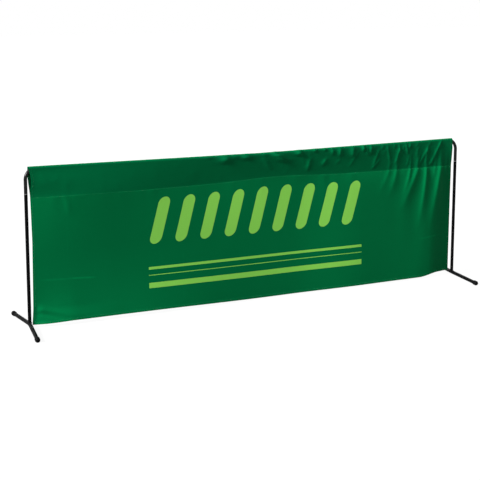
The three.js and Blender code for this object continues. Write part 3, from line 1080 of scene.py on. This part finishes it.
# %% Placed wrinkles of the pocket
# Each wrinkle: its upper and lower end as (millimetres along the rail, per cent of the way up
# the pocket), then its half width and how far it stands out, in millimetres. The short wide
# ones are puffs at the rail.
placed_wrinkles = [
    ((1068, 100), (1004, 5), 8, 4.4), ((986, 85), (976, 15), 7, 2.2), ((984, 74), (942, 18), 7, 3),
    ((944, 60), (928, 20), 8, 1), ((922, 97), (914, 86), 8, 2.2), ((872, 56), (864, 12), 8, 2.4),
    ((848, 98), (862, 60), 8, 4), ((812, 80), (790, 25), 9, 3.1), ((808, 97), (812, 66), 6, 2.8),
    ((736, 95), (754, 42), 8, 3.2), ((684, 80), (659, 25), 9, 3.1), ((690, 42), (652, 10), 8, 2.8),
    ((612, 98), (620, 70), 9, 3.2), ((560, 80), (520, 30), 10, 1.8), ((708, 97), (706, 87), 10, 3.2),
    ((780, 97), (780, 88), 7, 3), ((836, 90), (832, 76), 6, 2.4), ((876, 97), (870, 80), 8, 4.4),
    ((660, 97), (662, 90), 9, 2), ((1000, 97), (996, 88), 8, 2.4), ((460, 60), (440, 40), 12, 1.4),
    ((134, 62), (134, 30), 6, 1.4), ((26, 85), (64, 36), 10, 2.8), ((284, 66), (274, 20), 12, 3.8),
    ((376, 62), (360, 38), 14, 4.4), ((638, 104), (636, 72), 12, 6),
    ((590, 106), (594, 86), 10, 9.5), ((530, 104), (532, 66), 18, 5.8),
    ((456, 104), (456, 70), 14, 5.6), ((410, 102), (414, 80), 13, 5),
    ((368, 110), (368, 102), 9, 15), ((312, 110), (312, 100), 13, 15),
    ((220, 106), (224, 88), 16, 14), ((78, 106), (144, 64), 24, 13.5), ((32, 108), (34, 96), 9, 7),
    ((-72, 106), (-68, 86), 26, 9.2), ((-128, 108), (-126, 94), 16, 6),
    ((-180, 106), (-180, 78), 27, 9.8), ((-272, 108), (-272, 100), 18, 8)]
print(len(placed_wrinkles), "wrinkles have a place of their own")

# %% Faint wrinkles, and how deep they all are
faint_count = 46
# The faint ones are drawn between these limits: along the rail, how far up the pocket the upper
# end is and how far below it the lower one, then lean, height and half width
faint_places, faint_tops, faint_lengths = (-1.10, 1.12), (0.35, 0.98), (0.08, 0.45)
faint_leans, faint_heights, faint_widths = (-0.3, 0.7), (0.0003, 0.0014), (0.007, 0.016)
faintest = 0.35                     # share of a faint wrinkle's height, at the left
faint_step = (-0.5, 0.7)            # along the rail, from there to the whole height
wrinkle_draw = np.random.default_rng(7)
pocket_depth = 0.1355               # from the rail's axis down to the seam
wrinkle_fade = 0.11                 # share of the pocket's height, to each side of an end
wrinkles_at_rail = 0.60             # share of a wrinkle's height that is left on the rail


def faint_wrinkle():
    place = wrinkle_draw.uniform(*faint_places)
    high = wrinkle_draw.uniform(*faint_tops)
    low = high - wrinkle_draw.uniform(*faint_lengths)
    lean = wrinkle_draw.uniform(*faint_leans)
    height = wrinkle_draw.uniform(*faint_heights) * mix(faintest, 1, ramp(place, *faint_step))
    half_width = wrinkle_draw.uniform(*faint_widths)
    return (place, high), (place - lean * pocket_depth * (high - low), low), half_width, height


pocket_wrinkles = [((x / 1000, high / 100), (low_x / 1000, low / 100), width / 1000, height / 1000)
                   for (x, high), (low_x, low), width, height in placed_wrinkles]
pocket_wrinkles += [faint_wrinkle() for i in range(faint_count)]
print("the pocket has", len(pocket_wrinkles), "wrinkles")


def wrinkle_depth(x, up):
    """How far the pocket stands out in wrinkles; up is 0 at the seam and 1 at the rail."""
    total = 0
    for (high_x, high), (low_x, low), half_width, height in pocket_wrinkles:
        off = x - mix(low_x, high_x, (up - low) / (high - low))
        shown = within(up, (low - wrinkle_fade, low + wrinkle_fade),
                       (high + wrinkle_fade, high - wrinkle_fade))
        total = total + height * shown * rounded(off, half_width)
    return total


# %% [markdown]
# The pocket's two walls run from the seam to the rail, and an arc joins them over it. At the
# open ends they hang straight down before they close in on the seam. At the left end the front
# edge is drawn in past the back one, so the inside shows.

# %% Shape of the pocket
right_slip = 0.014                  # how far the cloth's right-hand end has slipped in
right_slip_step = (0.6, 1)          # along half the rail
end_shoulder = 0.042                # how far the open ends hang straight down
shoulder = 0.003                    # and the rest
end_length = 0.048
wall_softness = 0.25
standing_steps = ((0, 0.16), (0.90, 1.00))   # up the wall, where wrinkles set in and weaken
back_wrinkles = 0.5                 # share of the front's
mouth_bulge = 0.003
mouth_bulge_step = (-0.75, -1.10)
mouth_pull = 0.008
mouth_pull_step = (-1.04, -1.15)
rail_play = 0.0003                  # between the rail and the cloth
wrap_radius = tube_radius + rail_play + layer / 2


def at_rail(share):
    """Where a share of the cloth's half width lies along the rail."""
    return share * cover_half - right_slip * ramp(share, *right_slip_step)


def pocket_points(share, seam, up, way):
    """One wall; way is -1 for the front, and up is 0 at the seam and 1 where it meets the rail."""
    x = mix(seam[..., 0], at_rail(share), ramp(up, 0, 1))
    from_end = ramp(cover_half * (1 - np.abs(share)), 0, end_length)
    straight = 1 - mix(end_shoulder, shoulder, from_end) / pocket_depth
    reach = np.minimum(up / straight, 1)
    reach = mix(reach, ramp(reach, 0, 1), wall_softness)
    sets_in, weakens = standing_steps
    wrinkle = wrinkle_depth(x, up) * ramp(up, *sets_in) * mix(1, wrinkles_at_rail, ramp(up, *weakens))
    out = mouth_bulge * ramp(x, *mouth_bulge_step) * np.sin(math.pi * up) ** 2
    out = out + wrinkle * (1 if way < 0 else back_wrinkles)
    if way < 0:
        x = x + mouth_pull * ramp(x, *mouth_pull_step) * np.sin(math.pi * up ** 1.5)
    y = mix(seam[..., 1], way * wrap_radius, reach) + way * out
    z = mix(seam[..., 2], rail_height(at_rail(share)), up)
    return together(x, y, z)


print("the cloth's middle runs", round(wrap_radius, 5), "m from the rail's axis")


# %% Over the rail, and the whole grid
def arc_points(share, turn):
    """Over the rail; turn is 0 at the front of the rail and 1 at its back."""
    x = at_rail(share)
    angle = math.pi * turn
    forward = np.cos(angle)
    stands = np.where(forward > 0, forward, -back_wrinkles * forward)
    radius = wrap_radius + wrinkle_depth(x, 1) * wrinkles_at_rail * stands
    z = rail_height(x) + radius * np.sin(angle)
    return together(x, -radius * forward, z)


layer_gap = 0.0008                  # between the middles of two layers that are sewn together
shares = (column_places / flat_width * 2 - 1)[None, :]
behind = np.array((0, layer_gap, 0))
panel = panel_points(shares, 1 - (panel_rows / panel_length)[:, None])
seam = panel[-1:]
middle = np.concatenate([
    panel,
    pocket_points(shares, seam, wall_rows[:, None], -1),
    arc_points(shares, arc_rows[:, None]),
    pocket_points(shares, seam + behind, 1 - back_rows[:, None], 1),
    panel_points(shares, (flap_rows / panel_length)[:, None]) + behind])
heights = np.concatenate([
    panel_rows,
    panel_length + wall_rows * pocket_side,
    panel_length + pocket_side + arc_rows * over_rail,
    panel_length + pocket_side + over_rail + back_rows * pocket_side,
    flat_length - flap_length + flap_rows])[:, None]
print("grid:", middle.shape[0], "rows by", middle.shape[1], "columns")

# %% [markdown]
# The grid is the middle of the cloth. Its two faces stand half a thickness to each side of it,
# and a hem adds a second layer at the back, pulled in a little by its stitches. A rim closes
# the edge, so the cloth is one closed body. Only the face towards the viewer is printed.

# %% Make the cloth
hem_edge = 0.001                    # how soon the hem's second layer ends
hem_swell = 0.0002                  # what it adds in front
stitch_sink = 0.0001
stitch_reach = 0.0012
outward = unit(np.cross(np.gradient(middle, axis=1), np.gradient(middle, axis=0)))
from_side = np.minimum(column_places, flat_width - column_places)[None, :]
hem, stitched = 0, 0
for from_edge in (from_side, heights):
    hem = np.maximum(hem, ramp(from_edge, hem_width, hem_width - hem_edge))
    stitched = np.maximum(stitched, np.exp(-((from_edge - stitch_inset) / stitch_reach) ** 2))
sunk = stitch_sink * stitched
front_face = middle + outward * (layer / 2 + hem_swell * hem - sunk)[..., None]
back_face = middle - outward * (layer / 2 + layer * hem - sunk)[..., None]


def make_cover():
    points = np.concatenate([front_face.reshape(-1, 3), back_face.reshape(-1, 3)])
    front, back = np.arange(len(points)).reshape(2, *middle.shape[:2])
    rims = [(front[0], back[0]), (front[-1, ::-1], back[-1, ::-1]),
            (front[::-1, 0], back[::-1, 0]), (front[:, -1], back[:, -1])]
    rims = [quads(np.stack(lines, axis=1)) for lines in rims]
    faces = np.concatenate([quads(front), quads(back)[:, ::-1], *rims])
    plain = (np.arange(len(faces)) >= len(quads(front))).astype(np.int32)
    cover = new_piece("cover_cloth", points, faces.tolist(), [printed_cloth, plain_cloth], plain,
                      sharp_degrees=50)
    cut = together(column_places / flat_width, heights / flat_length)
    cut = np.tile(cut.reshape(-1, 2), (2, 1))
    corners = np.empty(len(cover.data.loops), dtype=np.int32)
    cover.data.loops.foreach_get("vertex_index", corners)
    uv = cover.data.uv_layers.new(name="flat_cut")
    uv.data.foreach_set("uv", cut[corners].astype(np.float32).ravel())
    return cover


cover = make_cover()
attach(cover, "frame")
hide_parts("cover")
print(cover.name, "has", len(cover.data.polygons), "faces")

# %% [markdown]
# ## Stitches
# Rows of stitches show along the seam, through the panel and the flap behind it, along the
# lower hem and up each side hem. Each row is a line on the grid, so it follows the folds.

# %% Sew the seam and the hems
stitch_pitch = 0.0042
stitch_size = (0.0034, 0.0006, 0.0005)
stitch_unevenness = 0.06


def row_at(height):
    """Picks the row of the grid that is nearest to a height up the cut."""
    return np.argmin(np.abs(heights - height)), slice(None)


def column_at(place):
    return slice(None), np.argmin(np.abs(column_places - place))


seams = [row_at(panel_length - seam_stitches), row_at(flat_length - flap_length + seam_stitches)]
hems = [row_at(stitch_inset), column_at(stitch_inset), column_at(flat_width - stitch_inset)]
lines = [(front_face[at], outward[at]) for at in seams + hems]
lines += [(back_face[at], -outward[at]) for at in hems]
stitches = bead_piece("cover_stitches", lines, thread, stitch_pitch, stitch_size,
                      stitch_unevenness, seed=3)
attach(stitches, "frame")

# %% [markdown]
# ## Floor, world and lamps
# The barrier stands in a white studio. The floor glows for the camera's own rays, so it comes
# out white but for a faint shadow. The world is a plain grey light for everything but the
# camera and mirrors, which see white.

# %% Floor and world
floor_half = 30.0
floor_glow = 0.93
floor_grey, floor_white = (0.15, 0.15, 0.15, 1), (0.8, 0.8, 0.8, 1)
world_light = 0.22


def seen_directly(tree):
    """1 for rays from the camera, a mirror or glass, and 0 for the rest."""
    path = add(tree, "ShaderNodeLightPath")
    mirrored = maths("MAXIMUM", path["Is Glossy Ray"], path["Is Transmission Ray"])
    return maths("MAXIMUM", path["Is Camera Ray"], mirrored)


def make_floor():
    material, tree, shader = new_material("white floor")
    seen = seen_directly(tree)
    set_inputs(shader, {"Roughness": 0.9, "Specular IOR Level": 0.1,
                        "Base Color": blend(tree, seen, floor_grey, floor_white)})
    glow = first(add(tree, "ShaderNodeEmission", {"Color": (1, 1, 1, 1), "Strength": 1.0}))
    plain = Value(tree.nodes["Principled BSDF"].outputs[0])
    both = first(add(tree, "ShaderNodeMixShader", {0: seen * floor_glow, 1: plain, 2: glow}))
    set_inputs(tree.nodes["Material Output"].inputs, {"Surface": both})
    corners = [(x * floor_half, y * floor_half, 0) for x, y in ((-1, -1), (1, -1), (1, 1), (-1, 1))]
    new_piece("floor", corners, [(0, 1, 2, 3)], [material])


def make_world():
    world = bpy.data.worlds.new("studio")
    world.use_nodes = True
    bpy.context.scene.world = world
    level = seen_directly(world.node_tree) * (1 - world_light) + world_light
    set_inputs(world.node_tree.nodes["Background"].inputs, {"Strength": level, "Color": (1, 1, 1, 1)})


make_floor()
make_world()
print("floor and world are white to the camera")

# %% [markdown]
# The main light comes from the far left and above, and only just reaches round to the front of
# the cloth. So the folds read: a flank that turns a few degrees to the left is bright, and one
# that turns as far to the right is dark. It is a sun lamp, because a softbox near by would
# light one end of the barrier more than the other. Two softboxes fill the front and the back.

# %% Lamps
lamp_aim = Vector((0, 0, 0.35))
side_light_from = Vector((-4.3, -0.5, 2.5))
side_light_strength = 11.6
side_light_angle = 20.0             # degrees across, which softens its shadows
# Each softbox: where it stands, its width and height, and its power in watts
softboxes = {
    "front softbox": ((-2.5, -7.0, 4.2), (3.5, 2.5), 90.0),
    "back softbox": ((2.5, 6.0, 4.0), (3.5, 2.5), 300.0),
}


def add_lamp(name, kind, place, strength):
    """A lamp that is turned towards the barrier."""
    lamp = new_object(name, bpy.data.lights.new(name, kind))
    lamp.location = place
    lamp.rotation_euler = (lamp_aim - lamp.location).to_track_quat("-Z", "Y").to_euler()
    lamp.data.energy = strength
    return lamp.data


sun = add_lamp("side light", "SUN", lamp_aim + side_light_from, side_light_strength)
sun.angle = math.radians(side_light_angle)
for name, (place, size, power) in softboxes.items():
    box = add_lamp(name, "AREA", Vector(place), power)
    box.shape = "RECTANGLE"
    box.size, box.size_y = size
print("one side light and", len(softboxes), "softboxes")
bpy.context.scene.view_settings.view_transform = "Standard"
